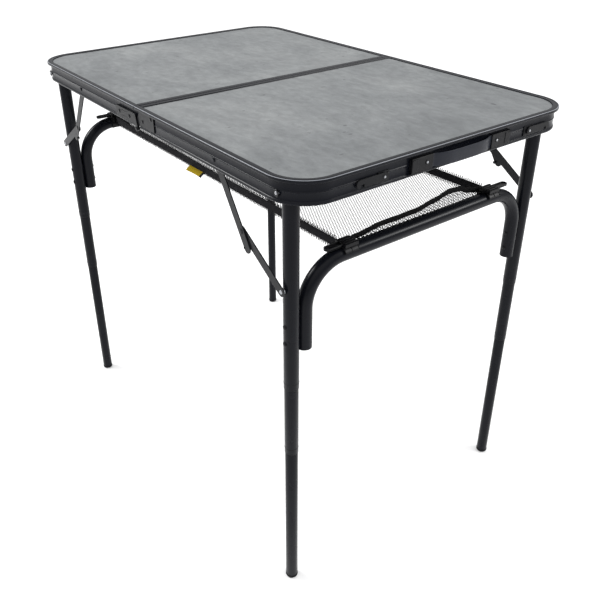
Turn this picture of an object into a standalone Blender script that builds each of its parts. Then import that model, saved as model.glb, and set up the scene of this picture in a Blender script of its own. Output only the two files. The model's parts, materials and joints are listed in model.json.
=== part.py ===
"""Folding camp kitchen table. Two framed top halves close like a suitcase, and each carries a folding
leg frame with telescopic legs, knee braces and a cross arch. A mesh shelf hangs between the two arches.
Metres, +Z up, +X towards the carrying handle, floor at Z = 0."""

import math

import bmesh
import bpy
from mathutils import Matrix, Vector

# top
LENGTH = 0.900
WIDTH = 0.600
HEIGHT = 0.800
RIM_DEPTH = 0.038
CORNER_R = 0.066
CORNER_STEPS = 9
FACE_IN = 0.0060  # from the lip edge in to the rim's side face
WALL_IN = 0.0078  # from the lip edge in to the rim's inner face
TRIM_W = 0.0110
HALF_GAP = 0.0006  # each half stops this far short of the seam
PANEL_TOP = HEIGHT - 0.0019
PANEL_T = 0.0037
PANEL_IN = TRIM_W + 0.0003
LEDGE_TOP = HEIGHT - 0.0059
LEDGE_IN = 0.0160
FOLD_Z = 0.7610

# leg frames
LEG_X = 0.400
LEG_Y = 0.2692
PIVOT_Z = 0.776
UPPER_R, UPPER_BORE = 0.0123, 0.0118
MIDDLE_R, MIDDLE_BORE = 0.0115, 0.01105
LOWER_R, LOWER_BORE = 0.01075, 0.0098
UPPER_END = 0.440
UPPER_TOP = PIVOT_Z + 0.0115
MIDDLE_END, MIDDLE_TOP = 0.306, 0.606
LOWER_END, LOWER_TOP = 0.0065, 0.345
FOOT_R, FOOT_TOP = 0.0111, 0.0220
ROUND = 20

# cross arches
ARCH_R, ARCH_BORE = 0.0123, 0.0108
ARCH_Y = LEG_Y - UPPER_R - ARCH_R - 0.0003
ARCH_Z = 0.6455
ARCH_END_Z = 0.507
ARCH_BEND = 0.070
ARCH_BEND_STEPS = 6
ARCH_ROUND = 16
ARCH_RIVET_Z = (0.556, 0.526)

# knee braces
BRACE_LEG_Z = 0.620
BRACE_REACH = PIVOT_Z - BRACE_LEG_Z
MOUNT_X = LEG_X - BRACE_REACH
KNEE_IN = 0.0950
LINK_W = 0.0150
UPPER_LINK_Y = (0.2885, 0.2905)
LOWER_LINK_Y = (0.2860, 0.2880)
TAB_L = 0.028

# end fittings
END_FACE = LENGTH / 2 - FACE_IN
END_MID_Y = 0.020
LATCH_HALF = 0.162
LATCH_Z = 0.7770
LATCH_L = 0.052
LATCH_BASE_W = 0.022
HANDLE_HALF = 0.110
BRACKET_L = 0.044
HANDLE_Z = (0.7672, 0.7900)
STRAP_BULGE = 0.0090

# mesh shelf
SHELF_X = 0.3825
SHELF_Y = 0.168
SHELF_Z = 0.6440
SHELF_T = 0.0012
BAND_Z = (0.6450, 0.6630)
CLIP_Y = 0.1640
CLIP_W = 0.0280

GREY_TOP = ("concrete_look_laminate", (0.36, 0.37, 0.37, 1), 0.62, 0.0)
FRAME = ("coated_aluminium", (0.030, 0.032, 0.038, 1), 0.42, 0.85)
TUBE = ("coated_tube", (0.034, 0.036, 0.043, 1), 0.38, 0.85)
STEEL = ("bright_steel", (0.62, 0.63, 0.65, 1), 0.28, 1.0)
DARK_STEEL = ("dark_steel", (0.045, 0.046, 0.050, 1), 0.40, 0.9)
NYLON = ("black_nylon", (0.018, 0.018, 0.020, 1), 0.55, 0.0)
RUBBER = ("black_rubber", (0.015, 0.015, 0.016, 1), 0.80, 0.0)
WEBBING = ("black_webbing", (0.012, 0.012, 0.013, 1), 0.90, 0.0)
MESH = ("black_mesh", (0.040, 0.040, 0.042, 1), 0.85, 0.0)
LABEL = ("yellow_label", (0.78, 0.60, 0.02, 1), 0.70, 0.0)


def clear_scene():
    for item in list(bpy.data.objects):
        bpy.data.objects.remove(item)
    for mesh in list(bpy.data.meshes):
        bpy.data.meshes.remove(mesh)


def material(name, spec):
    label, colour, roughness, metallic = spec
    made = bpy.data.materials.new(f"{label}_{name}")
    made.use_nodes = True
    shader = made.node_tree.nodes["Principled BSDF"]
    shader.inputs["Base Color"].default_value = colour
    shader.inputs["Roughness"].default_value = roughness
    shader.inputs["Metallic"].default_value = metallic
    return made


def closed_mesh(name, body):
    """Turns a bmesh into a mesh whose faces point out, and frees the bmesh."""
    bmesh.ops.remove_doubles(body, verts=body.verts, dist=1e-7)
    bmesh.ops.recalc_face_normals(body, faces=body.faces)
    mesh = bpy.data.meshes.new(name)
    body.to_mesh(mesh)
    body.free()
    return mesh


def combined(node, tool_body, operation):
    """Joins a closed bmesh to a node, or cuts it from the node, with an exact Boolean."""
    tool = bpy.data.objects.new("tool", closed_mesh("tool", tool_body))
    bpy.context.scene.collection.objects.link(tool)
    change = node.modifiers.new("change", "BOOLEAN")
    change.operation = operation
    change.solver = "EXACT"
    change.object = tool
    graph = bpy.context.evaluated_depsgraph_get()
    result = bpy.data.meshes.new_from_object(node.evaluated_get(graph))
    node.modifiers.clear()
    before, spare = node.data, tool.data
    node.data = result
    result.name = before.name
    bpy.data.objects.remove(tool)
    bpy.data.meshes.remove(spare)
    bpy.data.meshes.remove(before)


def finish(name, body, spec, origin=(0, 0, 0), add=(), cut=(), smooth=False):
    """Makes a named node of a bmesh given in world metres, with shapes joined on and cut out."""
    node = bpy.data.objects.new(name, closed_mesh(name, body))
    bpy.context.scene.collection.objects.link(node)
    for extra in add:
        combined(node, extra, "UNION")
    for cutter in cut:
        combined(node, cutter, "DIFFERENCE")
    mesh = node.data
    mesh.transform(Matrix.Translation(-Vector(origin)))
    node.location = origin
    mesh.materials.clear()
    mesh.materials.append(material(name, spec))
    if smooth:
        mesh.shade_smooth()
        mesh.set_sharp_from_angle(angle=math.radians(35))
    return node


def box(low, high, bevel=0.0):
    body = bmesh.new()
    size = Vector(high) - Vector(low)
    middle = (Vector(high) + Vector(low)) / 2
    bmesh.ops.create_cube(body, size=1.0, matrix=Matrix.Translation(middle) @ Matrix.Diagonal((*size, 1)))
    if bevel:
        bmesh.ops.bevel(body, geom=body.edges[:], offset=bevel, segments=1, affect="EDGES", profile=0.5)
    return body


def turned(outline, start, axis, steps=ROUND):
    """A solid of revolution: outline is (radius, distance along axis) pairs of a closed section or, with its
    ends on the axis, of an open one."""
    body = bmesh.new()
    axis = Vector(axis)
    side = axis.orthogonal().normalized()
    other = axis.cross(side)
    rings = []
    for radius, along in outline:
        centre = Vector(start) + axis * along
        if radius == 0:
            rings.append([body.verts.new(centre)])
            continue
        ring = []
        for i in range(steps):
            turn = 2 * math.pi * i / steps
            ring.append(body.verts.new(centre + radius * (math.cos(turn) * side + math.sin(turn) * other)))
        rings.append(ring)
    closed = outline[0][0] > 0
    for i in range(len(rings) if closed else len(rings) - 1):
        a, b = rings[i], rings[(i + 1) % len(rings)]
        for k in range(steps):
            m = (k + 1) % steps
            corners = [a[k % len(a)], a[m % len(a)], b[m % len(b)], b[k % len(b)]]
            body.faces.new(list(dict.fromkeys(corners)))
    return body


def rod(start, axis, length, radius, steps=12):
    return turned([(0, 0), (radius, 0), (radius, length), (0, length)], start, axis, steps)


def pipe(start, axis, length, radius, bore, steps=ROUND):
    return turned([(bore, 0), (radius, 0), (radius, length), (bore, length)], start, axis, steps)


def prism(outline, axis, low, high):
    """Extrudes a closed outline along Y (outline in X, Z) or along X (outline in Y, Z)."""
    body = bmesh.new()
    ends = []
    for at in (low, high):
        spots = [(a, at, b) if axis == "Y" else (at, a, b) for a, b in outline]
        ends.append([body.verts.new(p) for p in spots])
    body.faces.new(ends[0])
    body.faces.new(ends[1][::-1])
    count = len(outline)
    for i in range(count):
        k = (i + 1) % count
        body.faces.new([ends[0][i], ends[1][i], ends[1][k], ends[0][k]])
    return body


def stadium(a, b, width, steps=6):
    """Outline of a bar from a to b with round ends."""
    a, b = Vector(a), Vector(b)
    along = (b - a).normalized()
    start = math.atan2(along.y, along.x)
    outline = []
    for centre, turn in ((b, start - math.pi / 2), (a, start + math.pi / 2)):
        for i in range(steps + 1):
            angle = turn + math.pi * i / steps
            outline.append((centre.x + width / 2 * math.cos(angle), centre.y + width / 2 * math.sin(angle)))
    return outline


def rim_path(inset):
    """Corner points of the +X half's open outline at a distance in from the lip edge, seam to seam."""
    radius = CORNER_R - inset
    x = LENGTH / 2 - CORNER_R
    y = WIDTH / 2 - CORNER_R
    spots = [(HALF_GAP, -WIDTH / 2 + inset)]
    for centre, start in (((x, -y), -math.pi / 2), ((x, y), 0)):
        for i in range(CORNER_STEPS + 1):
            turn = start + math.pi / 2 * i / CORNER_STEPS
            spots.append((centre[0] + radius * math.cos(turn), centre[1] + radius * math.sin(turn)))
    spots.append((HALF_GAP, WIDTH / 2 - inset))
    return spots


def rim_section():
    """The rim extrusion: (distance in from the lip edge, distance below the top)."""
    inner = WALL_IN
    ledge = HEIGHT - LEDGE_TOP
    return [
        (0.0008, 0.0), (0.0, 0.0008), (0.0, 0.0042), (0.0010, 0.0052), (FACE_IN, 0.0060),
        (FACE_IN, 0.0178), (0.0051, 0.0184), (0.0051, 0.0202), (FACE_IN, 0.0208),
        (FACE_IN, 0.0332), (0.0044, 0.0342), (0.0044, 0.0374), (0.0050, RIM_DEPTH),
        (0.0085, RIM_DEPTH), (0.0085, RIM_DEPTH - 0.0022), (inner, RIM_DEPTH - 0.0029),
        (inner, ledge + 0.0015), (LEDGE_IN, ledge + 0.0015), (LEDGE_IN, ledge), (TRIM_W, ledge),
        (TRIM_W, 0.0003), (TRIM_W - 0.0003, 0.0),
    ]


def flip_x(body, side):
    """Mirrors a bmesh to the -X half when side is -1."""
    if side < 0:
        bmesh.ops.scale(body, vec=(-1, 1, 1), verts=body.verts)
        bmesh.ops.reverse_faces(body, faces=body.faces)
    return body


def flip_y(body, side):
    if side < 0:
        bmesh.ops.scale(body, vec=(1, -1, 1), verts=body.verts)
        bmesh.ops.reverse_faces(body, faces=body.faces)
    return body


def side_box(side, low, high, bevel=0.0):
    """A box given by its distance out along Y, on the left or right side."""
    return flip_y(box(low, high, bevel), side)


def end_fittings():
    """Middle and half width along Y of each handle bracket and latch base on the end face."""
    spots = []
    for side in (-1, 1):
        spots.append((END_MID_Y + side * (HANDLE_HALF - BRACKET_L / 2), BRACKET_L / 2))
        spots.append((END_MID_Y + side * LATCH_HALF, LATCH_BASE_W / 2))
    return spots


def rim_frame(name, end):
    """One bent extrusion around three sides of a half, notched for the hinges and drilled for the leg
    studs. The rivet of each brace is fixed in it."""
    section = rim_section()
    paths = [rim_path(inset) for inset, _ in section]
    body = bmesh.new()
    rings = []
    for i in range(len(paths[0])):
        rings.append([body.verts.new((*path[i], HEIGHT - drop)) for path, (_, drop) in zip(paths, section)])
    count = len(section)
    for first, second in zip(rings, rings[1:]):
        for i in range(count):
            k = (i + 1) % count
            body.faces.new([first[i], first[k], second[k], second[i]])
    body.faces.new(rings[0][::-1])
    body.faces.new(rings[-1])
    cuts, rivets = [], []
    for side in (-1, 1):
        cuts.append(side_box(side, (-0.0085, 0.270, FOLD_Z - 0.01), (0.0085, 0.310, 0.7685)))
        cuts.append(side_box(side, (-0.0785, 0.2938, 0.7789), (0.0785, 0.2970, 0.7825)))
        cuts.append(rod((end * LEG_X, side * 0.275, PIVOT_Z), (0, side, 0), 0.030, 0.0033, 10))
        outline = [(0, 0), (0.0034, 0.0002), (0.0042, 0.0010), (0.0042, 0.0019), (0.0025, 0.0019)]
        outline += [(0.0025, 0.0071), (0, 0.0071)]
        rivets.append(turned(outline, (end * MOUNT_X, side * 0.2957, PIVOT_Z), (0, -side, 0), 10))
    if end > 0:
        for middle, half in end_fittings():
            low = (END_FACE - 0.0002, middle - half - 0.0003, 0.7789)
            cuts.append(box(low, (END_FACE + 0.0030, middle + half + 0.0003, 0.7825)))
    return finish(name, flip_x(body, end), FRAME, add=rivets, cut=cuts, smooth=True)


def top_panel(name, end):
    """The laminate sheet, which lies on the ledge inside the trim."""
    outline = rim_path(PANEL_IN)
    outline[0] = (PANEL_IN, outline[0][1])
    outline[-1] = (PANEL_IN, outline[-1][1])
    body = bmesh.new()
    ends = []
    for z in (PANEL_TOP - PANEL_T, PANEL_TOP):
        ends.append([body.verts.new((x, y, z)) for x, y in outline])
    body.faces.new(ends[0][::-1])
    body.faces.new(ends[1])
    count = len(outline)
    for i in range(count):
        k = (i + 1) % count
        body.faces.new([ends[0][i], ends[0][k], ends[1][k], ends[1][i]])
    return finish(name, flip_x(body, end), GREY_TOP)


def seam_strip(name, end):
    """The shallow profile that closes a half along the seam. Its trim runs on over the ledges of the rim."""
    ledge = LEDGE_TOP
    section = [
        (HALF_GAP, HEIGHT), (TRIM_W, HEIGHT), (TRIM_W, ledge), (LEDGE_IN, ledge), (LEDGE_IN, ledge - 0.0013),
        (0.0024, ledge - 0.0013), (0.0024, 0.7900), (HALF_GAP, 0.7900),
    ]
    reach = WIDTH / 2 - TRIM_W - 0.0003
    inner = WIDTH / 2 - LEDGE_IN - 0.0004
    cuts = []
    for side in (-1, 1):
        cuts.append(side_box(side, (-0.02, inner, 0.78), (0.02, 0.3, ledge + 0.0003)))
    return finish(name, flip_x(prism(section, "Y", -reach, reach), end), FRAME, cut=cuts)


def leg_stud(name, end, side):
    """Shouldered stud that carries a leg, riveted over outside the rim and inside the leg."""
    outline = [
        (0, 0), (0.0034, 0.0002), (0.0045, 0.0010), (0.0045, 0.0014), (0.0030, 0.0014), (0.0030, 0.0084),
        (0.0066, 0.0084), (0.0066, 0.0134), (0.0030, 0.0134), (0.0030, 0.0386), (0.0050, 0.0386),
        (0.0050, 0.0402), (0.0038, 0.0410), (0, 0.0410),
    ]
    start = (end * LEG_X, side * 0.2952, PIVOT_Z)
    return finish(name, turned(outline, start, (0, -side, 0), 12), STEEL, start, smooth=True)


def plain_leaf_outline():
    """Side view of the far half's hinge leaf, with its eye around the fold line."""
    eye = 0.0048
    outline = [(-0.0040, 0.7675)]
    for i in range(9):
        turn = math.radians(150 + 30 * i)
        outline.append((eye * math.cos(turn), FOLD_Z + eye * math.sin(turn)))
    outline += [(0.0020, 0.7720), (-0.0020, 0.7860), (-0.0740, 0.7860), (-0.0770, 0.7835), (-0.0770, 0.7675)]
    return outline


def handle_leaf_outline():
    eye = 0.0048
    outline = [(0.0610, 0.7675), (0.0610, 0.7925), (0.0580, 0.7935), (0.0120, 0.7935), (-0.0020, 0.7750)]
    for i in range(9):
        turn = math.radians(150 + 30 * i)
        outline.append((eye * math.cos(turn), FOLD_Z + eye * math.sin(turn)))
    outline.append((0.0048, 0.7675))
    return outline


def button(x, y, z, side, radius=0.0036, height=0.0011):
    """A rivet's head on a side face, sunk a little into it. Its Y is the face's distance from the middle."""
    foot = height + 0.0004
    outline = [(0, 0), (radius - 0.0008, 0.0001), (radius, 0.0007), (radius, foot), (0, foot)]
    return turned(outline, (x, side * (y + height), z), (0, -side, 0), 10)


def hinge_leaf(name, end, side):
    """A hinge leaf on one long side, with the heads of its two rivets."""
    cuts = [rod((0, side * 0.2920, FOLD_Z), (0, side, 0), 0.010, 0.0025, 12)]
    if end > 0:
        leaf = prism(handle_leaf_outline(), "Y", side * 0.2943, side * 0.2959)
        heads = [button(x, 0.2959, z, side) for x, z in ((0.0200, 0.7770), (0.0510, 0.7885))]
        return finish(name, leaf, DARK_STEEL, add=heads, cut=cuts)
    leaf = prism(plain_leaf_outline(), "Y", side * 0.2962, side * 0.2984)
    rib = side_box(side, (-0.0765, 0.2943, 0.7680), (-0.0150, 0.2974, 0.7855))
    heads = [button(x, 0.2984, 0.7768, side) for x in (-0.0640, -0.0250)]
    return finish(name, leaf, DARK_STEEL, add=[rib, *heads], cut=cuts)


def hinge_pin(name, side):
    outline = [
        (0, 0), (0.0030, 0.0002), (0.0036, 0.0011), (0.0022, 0.0011), (0.0022, 0.0058), (0.0034, 0.0058),
        (0.0034, 0.0068), (0, 0.0068),
    ]
    start = (0, side * 0.2998, FOLD_Z)
    return finish(name, turned(outline, start, (0, -side, 0), 12), STEEL, start, smooth=True)


def rivet_on_tube(x, y, z, side):
    """A rivet through a tube's outer wall. Its Y is the tube surface's distance from the middle."""
    outline = [
        (0, 0), (0.0028, 0.0002), (0.0038, 0.0010), (0.0038, 0.0015), (0.0021, 0.0015), (0.0021, 0.0019),
        (0, 0.0019),
    ]
    return turned(outline, (x, side * (y + 0.0016), z), (0, -side, 0), 10)


def upper_leg(name, end, side):
    """Upper leg tube, drilled for its pivot stud, with the outer rivets of the arch in its wall."""
    start = (end * LEG_X, side * LEG_Y, UPPER_END)
    length = UPPER_TOP - UPPER_END
    outline = [
        (UPPER_BORE, 0), (UPPER_R - 0.0002, 0), (UPPER_R, 0.0004), (UPPER_R, length - 0.0004),
        (UPPER_R - 0.0002, length), (UPPER_BORE, length),
    ]
    cuts = [rod((end * LEG_X, side * (LEG_Y - 0.02), PIVOT_Z), (0, side, 0), 0.04, 0.0033, 10)]
    rivets = [rivet_on_tube(end * LEG_X, LEG_Y + UPPER_R, z, side) for z in ARCH_RIVET_Z]
    pivot = (end * LEG_X, 0, PIVOT_Z)
    return finish(name, turned(outline, start, (0, 0, 1)), TUBE, pivot, rivets, cuts, smooth=True)


def arch_path():
    """Centre line of the arch as (Y, Z, direction angle) from one end up and over to the other."""
    y = ARCH_Y - ARCH_BEND
    z = ARCH_Z - ARCH_BEND
    spots = [(-ARCH_Y, ARCH_END_Z, math.pi / 2)]
    for i in range(ARCH_BEND_STEPS + 1):
        turn = math.pi / 2 * i / ARCH_BEND_STEPS
        spots.append((-y - ARCH_BEND * math.cos(turn), z + ARCH_BEND * math.sin(turn), math.pi / 2 - turn))
    for i in range(ARCH_BEND_STEPS + 1):
        turn = math.pi / 2 * i / ARCH_BEND_STEPS
        spots.append((y + ARCH_BEND * math.sin(turn), z + ARCH_BEND * math.cos(turn), -turn))
    spots.append((ARCH_Y, ARCH_END_Z, -math.pi / 2))
    return spots


def arch_tube(name, end):
    """Bent tube between the two legs of a frame, open at both lower ends."""
    body = bmesh.new()
    layers = []
    for radius in (ARCH_R, ARCH_BORE):
        rings = []
        for y, z, heading in arch_path():
            side = Vector((0, -math.sin(heading), math.cos(heading)))
            ring = []
            for i in range(ARCH_ROUND):
                turn = 2 * math.pi * i / ARCH_ROUND
                spot = Vector((end * LEG_X, y, z)) + radius * (
                    math.cos(turn) * side + math.sin(turn) * Vector((1, 0, 0))
                )
                ring.append(body.verts.new(spot))
            rings.append(ring)
        for first, second in zip(rings, rings[1:]):
            for i in range(ARCH_ROUND):
                k = (i + 1) % ARCH_ROUND
                body.faces.new([first[i], first[k], second[k], second[i]])
        layers.append(rings)
    for at in (0, -1):
        outer, inner = layers[0][at], layers[1][at]
        for i in range(ARCH_ROUND):
            k = (i + 1) % ARCH_ROUND
            body.faces.new([outer[i], outer[k], inner[k], inner[i]])
    rivets = []
    for side in (-1, 1):
        for z in ARCH_RIVET_Z:
            rivets.append(rivet_on_tube(end * LEG_X, ARCH_R - ARCH_Y, z, -side))
    return finish(name, body, TUBE, (end * LEG_X, 0, PIVOT_Z), rivets, smooth=True)


def net_clip(name, end, side):
    """Plastic clip on the arch: a saddle, a block that holds the webbing, and a finger paddle."""
    inner, outer = 0.0131, 0.0156
    x, z = end * LEG_X, ARCH_Z
    outline = []
    for radius, order in ((outer, range(11)), (inner, reversed(range(11)))):
        for i in order:
            turn = math.radians(22 + 19.6 * i)
            outline.append((x + end * radius * math.cos(turn), z + radius * math.sin(turn)))
    low, high = CLIP_Y - CLIP_W / 2, CLIP_Y + CLIP_W / 2
    saddle = prism(outline, "Y", side * low, side * high)
    near, far = (x - 0.0122, low + 0.001, z + 0.0140), (x + 0.0122, high - 0.001, z + 0.0215)
    block = side_box(side, near, far, 0.001)
    paddle = side_box(side, (x - 0.0065, high - 0.005, z + 0.0152), (x + 0.0065, 0.2080, z + 0.0197), 0.0012)
    return finish(name, saddle, NYLON, (x, 0, PIVOT_Z), [block, paddle], smooth=True)


def leg_section(name, end, side, low, high, radius, bore):
    """A telescopic tube with a slightly rolled lower edge."""
    start = (end * LEG_X, side * LEG_Y, low)
    length = high - low
    outline = [(bore, 0), (radius - 0.0002, 0), (radius, 0.0004), (radius, length), (bore, length)]
    return finish(name, turned(outline, start, (0, 0, 1)), TUBE, start, smooth=True)


def foot_cap(name, end, side):
    """Rubber plug in the lower tube's mouth, with a rounded sole flush with the tube."""
    plug = LOWER_BORE - 0.0002
    outline = [
        (0, 0), (FOOT_R - 0.0034, 0), (FOOT_R - 0.0018, 0.0006), (FOOT_R - 0.0005, 0.0019), (FOOT_R, 0.0038),
        (FOOT_R, LOWER_END - 0.0003), (plug, LOWER_END - 0.0003), (plug, FOOT_TOP - 0.0010),
        (plug - 0.0010, FOOT_TOP), (0, FOOT_TOP),
    ]
    start = (end * LEG_X, side * LEG_Y, 0)
    return finish(name, turned(outline, start, (0, 0, 1)), RUBBER, start, smooth=True)


def brace_points(end):
    """Rim mount, knee and leg pivot of a brace, in X and Z."""
    mount = Vector((end * MOUNT_X, PIVOT_Z))
    knee = Vector((end * (LEG_X - KNEE_IN), PIVOT_Z - KNEE_IN))
    leg = Vector((end * LEG_X, BRACE_LEG_Z))
    return mount, knee, leg


def upper_link(name, end, side):
    """Bar from the rim to the knee, with the knee rivet. It runs on past the knee as a short tab."""
    mount, knee, _ = brace_points(end)
    tip = knee + (knee - mount).normalized() * TAB_L
    bar = flip_y(prism(stadium(mount, tip, LINK_W, 7), "Y", *UPPER_LINK_Y), side)
    outline = [
        (0, 0), (0.0044, 0.0002), (0.0050, 0.0006), (0.0050, 0.0012), (0.0025, 0.0012), (0.0025, 0.0055),
        (0.0048, 0.0055), (0.0048, 0.0063), (0.0040, 0.0067), (0, 0.0067),
    ]
    rivet = turned(outline, (knee.x, side * 0.2912, knee.y), (0, -side, 0), 12)
    hole = rod((mount.x, side * 0.280, mount.y), (0, side, 0), 0.02, 0.0028, 10)
    return finish(name, bar, DARK_STEEL, (mount.x, 0, mount.y), [rivet], [hole], smooth=True)


def lower_link(name, end, side):
    """Bar from the knee to the leg, with the boss that stands it off the leg."""
    _, knee, leg = brace_points(end)
    bar = flip_y(prism(stadium(knee, leg, LINK_W, 7), "Y", *LOWER_LINK_Y), side)
    outline = [
        (0, 0), (0.0030, 0.0), (0.0034, 0.0001), (0.0034, 0.0011), (0.0048, 0.0011), (0.0048, 0.0062),
        (0, 0.0062),
    ]
    boss = turned(outline, (leg.x, side * 0.2883, leg.y), (0, -side, 0), 10)
    hole = rod((knee.x, side * 0.280, knee.y), (0, side, 0), 0.02, 0.0028, 10)
    return finish(name, bar, DARK_STEEL, (knee.x, 0, knee.y), [boss], [hole], smooth=True)


def latch_lever(name, side):
    """Swinging hook lever, stowed along the rim."""
    pivot_y = END_MID_Y + side * LATCH_HALF
    tip = (pivot_y + side * (LATCH_L - 0.006), LATCH_Z)
    bar = prism(stadium((pivot_y, LATCH_Z), tip, 0.0124, 6), "X", END_FACE + 0.0020, END_FACE + 0.0047)
    hook_y = pivot_y + side * (LATCH_L - 0.014)
    low = (END_FACE, min(hook_y, hook_y + side * 0.006), LATCH_Z - 0.0100)
    high = (END_FACE + 0.01, max(hook_y, hook_y + side * 0.006), LATCH_Z - 0.0005)
    cuts = [box(low, high), rod((END_FACE, pivot_y, LATCH_Z), (1, 0, 0), 0.01, 0.0025, 10)]
    return finish(name, bar, DARK_STEEL, (END_FACE, pivot_y, LATCH_Z), cut=cuts, smooth=True)


def latch_base(name, side):
    """Base plate of a latch with the stud that its lever turns on."""
    y = END_MID_Y + side * LATCH_HALF
    half = LATCH_BASE_W / 2
    plate = box((END_FACE + 0.0003, y - half, 0.7680), (END_FACE + 0.0017, y + half, 0.7900))
    outline = [
        (0, 0), (0.0022, 0), (0.0022, 0.0040), (0.0042, 0.0040), (0.0038, 0.0050), (0.0020, 0.0054),
        (0, 0.0055),
    ]
    stud = turned(outline, (END_FACE + 0.0010, y, LATCH_Z), (1, 0, 0), 12)
    return finish(name, plate, STEEL, (END_FACE, y, LATCH_Z), [stud], smooth=True)


def handle_bracket(name, side):
    """End housing of the carrying handle, slotted for the strap, with its rivet."""
    outer = side * HANDLE_HALF
    inner = side * (HANDLE_HALF - BRACKET_L)
    low = (END_FACE + 0.0003, END_MID_Y + min(outer, inner), HANDLE_Z[0])
    high = (END_FACE + 0.0056, END_MID_Y + max(outer, inner), HANDLE_Z[1])
    mouth = END_MID_Y + side * (HANDLE_HALF - BRACKET_L - 0.004)
    back = END_MID_Y + side * (HANDLE_HALF - BRACKET_L + 0.0105)
    slot_low = (END_FACE + 0.0015, min(mouth, back), HANDLE_Z[0] + 0.0007)
    slot_high = (END_FACE + 0.0044, max(mouth, back), HANDLE_Z[1] - 0.0007)
    rivet_y = END_MID_Y + side * (HANDLE_HALF - BRACKET_L + 0.0180)
    outline = [(0, 0), (0.0040, 0), (0.0040, 0.0009), (0.0034, 0.0016), (0, 0.0018)]
    rivet = turned(outline, (END_FACE + 0.0051, rivet_y, 0.7782), (1, 0, 0), 12)
    return finish(name, box(low, high, 0.0008), NYLON, add=[rivet], cut=[box(slot_low, slot_high)])


def handle_strap(name):
    """Flexible strap, bowed out between its housings."""
    low, high = HANDLE_Z[0] + 0.0010, HANDLE_Z[1] - 0.0010
    half = HANDLE_HALF - BRACKET_L + 0.0100
    thick = 0.0023
    steps = 18
    body = bmesh.new()
    rings = []
    for i in range(steps + 1):
        y = -half + 2 * half * i / steps
        reach = max(0.0, 1 - (abs(y) / (half - 0.014)) ** 2) if abs(y) < half - 0.014 else 0.0
        x = END_FACE + 0.0018 + STRAP_BULGE * reach * (2 - reach)
        corners = ((x, low), (x + thick, low), (x + thick, high), (x, high))
        rings.append([body.verts.new((a, END_MID_Y + y, b)) for a, b in corners])
    for first, second in zip(rings, rings[1:]):
        for i in range(4):
            k = (i + 1) % 4
            body.faces.new([first[i], first[k], second[k], second[i]])
    body.faces.new(rings[0][::-1])
    body.faces.new(rings[-1])
    return finish(name, body, RUBBER, smooth=True)


def shelf_floor(name):
    reach, half = SHELF_X - 0.0025, SHELF_Y - 0.0010
    return finish(name, box((-reach, -half, SHELF_Z), (reach, half, SHELF_Z + SHELF_T)), MESH)


def shelf_band(name, side):
    """Webbing along one long edge of the shelf."""
    body = box((-SHELF_X, SHELF_Y - 0.0005, BAND_Z[0]), (SHELF_X, SHELF_Y + 0.0010, BAND_Z[1]))
    return finish(name, flip_y(body, side), WEBBING)


def shelf_end(name, end):
    """Low mesh wall with bound edges at one end of the shelf."""
    half = SHELF_Y - 0.0010
    body = box((SHELF_X - 0.0022, -half, SHELF_Z - 0.0040), (SHELF_X - 0.0008, half, 0.6700))
    return finish(name, flip_x(body, end), WEBBING)


def shelf_tag(name):
    body = box((-0.0560, -SHELF_Y - 0.0026, 0.6300), (-0.0010, -SHELF_Y - 0.0014, 0.6500))
    return finish(name, body, LABEL)


def build():
    clear_scene()
    ends = ((1, "handle_half"), (-1, "far_half"))
    sides = ((-1, "left"), (1, "right"))
    for end, half in ends:
        top_panel(f"top_panel_{half}", end)
        rim_frame(f"rim_frame_{half}", end)
        seam_strip(f"seam_strip_{half}", end)
        arch_tube(f"arch_tube_{half}", end)
        shelf_end(f"shelf_end_wall_{half}", end)
        for side, hand in sides:
            leg_stud(f"leg_pivot_stud_{half}_{hand}", end, side)
            upper_leg(f"upper_leg_{half}_{hand}", end, side)
            leg_section(f"middle_leg_{half}_{hand}", end, side, MIDDLE_END, MIDDLE_TOP, MIDDLE_R, MIDDLE_BORE)
            leg_section(f"lower_leg_{half}_{hand}", end, side, LOWER_END, LOWER_TOP, LOWER_R, LOWER_BORE)
            foot_cap(f"foot_cap_{half}_{hand}", end, side)
            upper_link(f"upper_brace_{half}_{hand}", end, side)
            lower_link(f"lower_brace_{half}_{hand}", end, side)
            hinge_leaf(f"hinge_leaf_{half}_{hand}", end, side)
            net_clip(f"shelf_clip_{half}_{hand}", end, side)
    for side, hand in sides:
        hinge_pin(f"hinge_pin_{hand}", side)
        latch_lever(f"latch_lever_{hand}", side)
        latch_base(f"latch_base_{hand}", side)
        handle_bracket(f"handle_bracket_{hand}", side)
        shelf_band(f"shelf_webbing_{hand}", side)
    handle_strap("handle_strap")
    shelf_floor("shelf_mesh_floor")
    shelf_tag("shelf_label_tag")


build()
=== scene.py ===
"""Looks of the folding camp kitchen table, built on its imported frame.
Metres, +Z up, +X towards the carrying handle, floor at Z = 0."""

import json
import math

import bmesh
import bpy
from mathutils import Matrix, Vector, noise

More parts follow.
